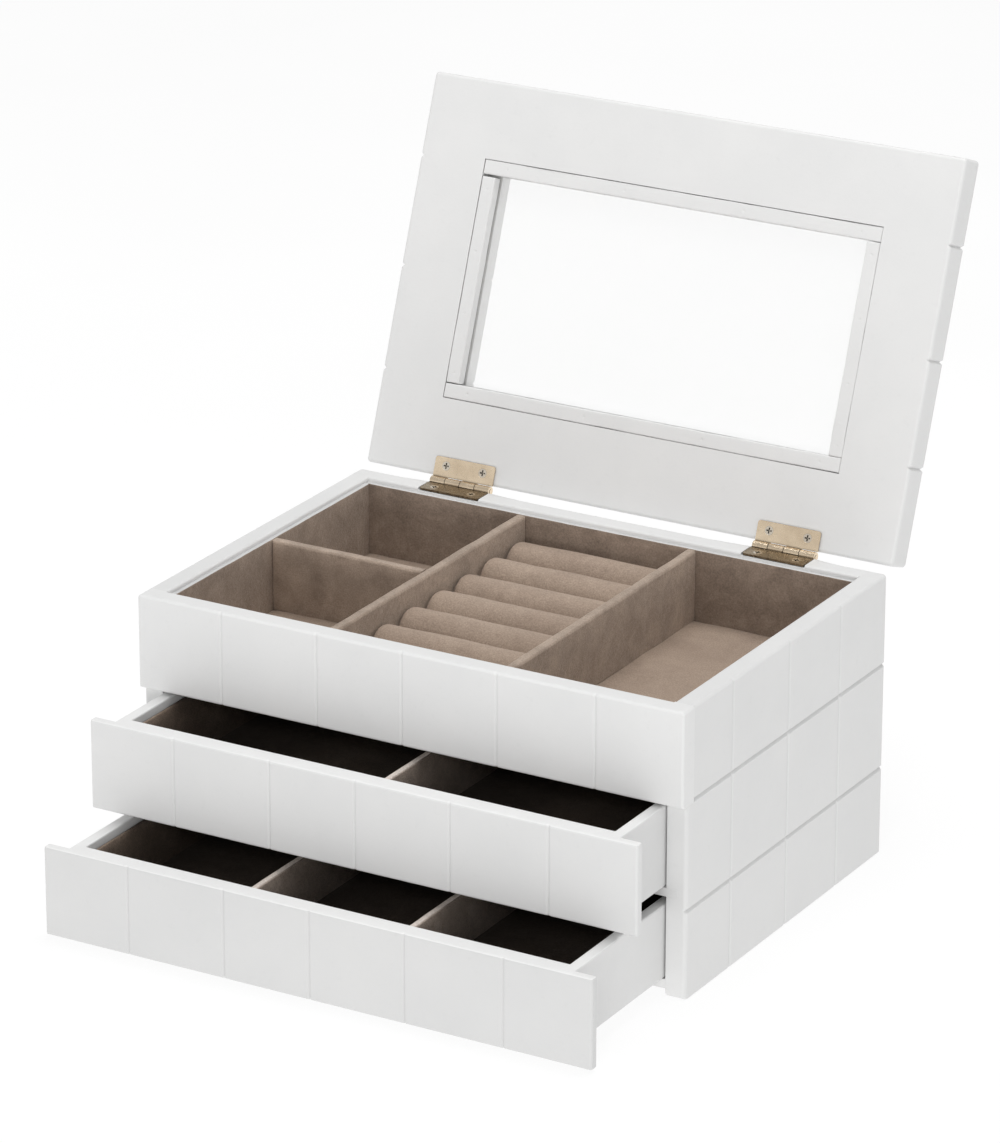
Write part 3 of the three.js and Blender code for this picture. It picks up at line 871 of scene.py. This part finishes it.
def roll_mesh(node, seed):
    """A long pad with upright sides and a round top, and soft shoulders at its ends."""
    low, high = extent(node)
    centre = (low + high) / 2
    half = (high.x - low.x) / 2 - 0.15
    wide = (high.y - low.y) / 2 - 0.6
    base = low.z + 0.1
    rise = high.z - 0.5 - base - wide
    shoulder = 2.2
    steps = 14
    turns = [math.pi * t / steps for t in range(steps + 1)]
    outline = [(-wide, rise * t / 5) for t in range(5)]
    outline += [(-wide * math.cos(turn), rise + wide * math.sin(turn)) for turn in turns]
    outline += [(wide, rise * (4 - t) / 5) for t in range(5)]
    outline += [(wide * (1 - t / 3), 0.0) for t in range(1, 6)]
    ends = [half - shoulder * (1 - math.sin(math.pi * t / 10)) for t in range(5, -1, -1)]
    body = [half - shoulder - 2 * (half - shoulder) * i / 24 for i in range(1, 24)]
    mesh = bmesh.new()
    rings = []
    for x in ends + body + [-x for x in reversed(ends)]:
        over = max(0.0, abs(x) - (half - shoulder))
        inset = shoulder - math.sqrt(max(0.0, shoulder**2 - over**2))
        ring = []
        for y, z in outline:
            p = Vector((x, y * (1 - inset / wide), z - inset * z / (rise + wide)))
            p += noise.noise_vector(p / 18 + Vector((seed * 5.3, seed, 0))) * 0.3
            ring.append(mesh.verts.new(Vector((centre.x + p.x, centre.y + p.y, max(base, base + p.z))) * MM))
        rings.append(ring)
    around = len(outline)
    for a, b in zip(rings, rings[1:]):
        for i in range(around):
            k = (i + 1) % around
            mesh.faces.new((a[i], a[k], b[k], b[i]))
    for ring in (rings[0], rings[-1]):
        middle = mesh.verts.new(sum((v.co for v in ring), Vector()) / around)
        for i in range(around):
            mesh.faces.new((ring[(i + 1) % around], ring[i], middle))
    bmesh.ops.recalc_face_normals(mesh, faces=mesh.faces)
    return mesh


def remeshed(piece):
    """Gives a piece an even mesh, as cloth needs."""
    remesh = piece.modifiers.new("even mesh", "REMESH")
    remesh.mode = "VOXEL"
    remesh.voxel_size = ROLL_VOXEL * MM
    graph = bpy.context.evaluated_depsgraph_get()
    even = bpy.data.meshes.new_from_object(piece.evaluated_get(graph))
    piece.modifiers.clear()
    piece.data = even
    even.polygons.foreach_set("use_smooth", [True] * len(even.polygons))


def ring_rolls():
    rolls = sorted(n for n in frame["nodes"] if n.startswith("ring_roll_"))
    for seed, node in enumerate(rolls):
        piece = finished(
            f"{node}_velvet", roll_mesh(node, seed), LIT_ROLL_VELVET, "case", [node], crease=180,
        )
        remeshed(piece)
        inflate(piece, FILLING_LIMIT * MM)
        finer = piece.modifiers.new("finer", "SUBSURF")
        finer.levels = finer.render_levels = 1


# ---------------------------------------------------------------- metal and glass


SCREW_EDGE = 0.10
LEAF_EDGE = 0.28


def fittings():
    """The hinges and the glass are the CAD nodes themselves, with soft edges and materials."""
    rim_back = extent("back_panel")[1].y
    for name, node in frame["nodes"].items():
        if "hinge" not in name:
            continue
        screw = "screw" in name
        node.data.materials.clear()
        # The case leaves get the painted-shaded brass; the knuckles behind the rim keep the lighter brass.
        if "case_leaf" in name:
            node.data.materials.append(SHADED_BRASS)
            node.data.materials.append(BRASS)
            for face in node.data.polygons:
                face.material_index = int(face.center.y / MM > rim_back + 0.05)
        else:
            node.data.materials.append(STEEL if screw else BRASS)
        soft = node.modifiers.new("soft edges", "BEVEL")
        soft.width = (SCREW_EDGE if screw else LEAF_EDGE) * MM
        soft.segments = 2
        soft.limit_method = "ANGLE"
        soft.angle_limit = math.radians(40)
        soft.harden_normals = True
        node.data.polygons.foreach_set("use_smooth", [True] * len(node.data.polygons))
        node.data.set_sharp_from_angle(angle=math.radians(35))
    pane = frame["nodes"]["window_glass"]
    pane.data.materials.clear()
    pane.data.materials.append(GLASS)


# ---------------------------------------------------------------- studio


CAMERA_LENS = 190.03            # in mm, on a sensor 36 mm wide
CAMERA_PLACE = (1.17857, -2.05000, 1.03876)
CAMERA_TURN = (30.0385, 20.945, 0.103)      # azimuth, elevation and roll in degrees
WORLD_SHADES = ((0.05, 1.0), (0.45, 0.52))  # (place on the ramp, brightness)
FLOOR_GLOW = 0.84


def studio_world():
    """Light from all round: white from below the horizon, greyer from above."""
    world = bpy.data.worlds.new("studio")
    world.use_nodes = True
    nodes, links = world.node_tree.nodes, world.node_tree.links
    height = nodes.new("ShaderNodeSeparateXYZ")
    links.new(nodes.new("ShaderNodeTexCoord").outputs["Generated"], height.inputs["Vector"])
    fade = nodes.new("ShaderNodeValToRGB")
    links.new(height.outputs["Z"], fade.inputs["Fac"])
    for element, (level, shade) in zip(fade.color_ramp.elements, WORLD_SHADES):
        element.position = level
        element.color = (shade, shade, shade, 1)
    links.new(fade.outputs["Color"], nodes["Background"].inputs["Color"])
    bpy.context.scene.world = world


def pale_floor():
    mesh = bmesh.new()
    bmesh.ops.create_grid(mesh, x_segments=8, y_segments=8, size=4.0)
    data = bpy.data.meshes.new("floor")
    mesh.to_mesh(data)
    mesh.free()
    floor = bpy.data.objects.new("floor", data)
    bpy.context.scene.collection.objects.link(floor)
    pale = Finish("pale floor", Roughness=0.9, Specular_IOR_Level=0.1)
    pale.wire("Base Color", pale.ramp(pale.noise(3), (0.3, 0.16), (0.7, 0.18)))
    pale.shader.inputs["Emission Color"].default_value = (1, 1, 1, 1)
    pale.shader.inputs["Emission Strength"].default_value = FLOOR_GLOW
    data.materials.append(pale.material)
    floor.location.z = box_before[0].z


def softbox(name, location, target, size, power):
    light = bpy.data.lights.new(name, "AREA")
    light.shape = "RECTANGLE"
    light.size, light.size_y = size
    light.energy = power
    lamp = bpy.data.objects.new(name, light)
    bpy.context.scene.collection.objects.link(lamp)
    lamp.location = location
    lamp.rotation_euler = (Vector(target) - Vector(location)).to_track_quat("-Z", "Y").to_euler()


def studio_camera():
    camera = bpy.data.cameras.new("camera")
    camera.lens = CAMERA_LENS
    camera.sensor_width = 36
    camera.clip_start, camera.clip_end = 0.05, 50
    view = bpy.data.objects.new("camera", camera)
    bpy.context.scene.collection.objects.link(view)
    azimuth, elevation, roll = (math.radians(d) for d in CAMERA_TURN)
    out = math.cos(elevation)
    right = Vector((math.cos(azimuth), math.sin(azimuth), 0))
    back = Vector((math.sin(azimuth) * out, -math.cos(azimuth) * out, math.sin(elevation)))
    up = back.cross(right)
    level = right * math.cos(roll) + up * math.sin(roll)
    upright = up * math.cos(roll) - right * math.sin(roll)
    turn = Matrix((level, upright, back)).transposed().to_4x4()
    view.matrix_world = Matrix.Translation(CAMERA_PLACE) @ turn
    bpy.context.scene.camera = view


def studio():
    bpy.context.scene.view_settings.view_transform = "Standard"
    studio_world()
    pale_floor()
    softbox("overhead", (0.05, 0.15, 1.5), (0, 0, 0.1), (0.9, 0.7), 10.0)
    softbox("front", (0.85, -2.45, 0.30), (0, 0, 0.12), (0.9, 0.35), 12.0)
    softbox("front, high", (0.75, -2.1, 1.25), (-0.05, -0.12, 0.06), (0.5, 0.3), 5.0)
    studio_camera()


# ---------------------------------------------------------------- all of it


case_boards()
for drawer in ("middle_drawer", "bottom_drawer"):
    drawer_boards(drawer)
    drawer_lining(drawer)
lid_panel()
window_beads()
tray_lining()
tray_dividers()
ring_rolls()
fittings()
studio()
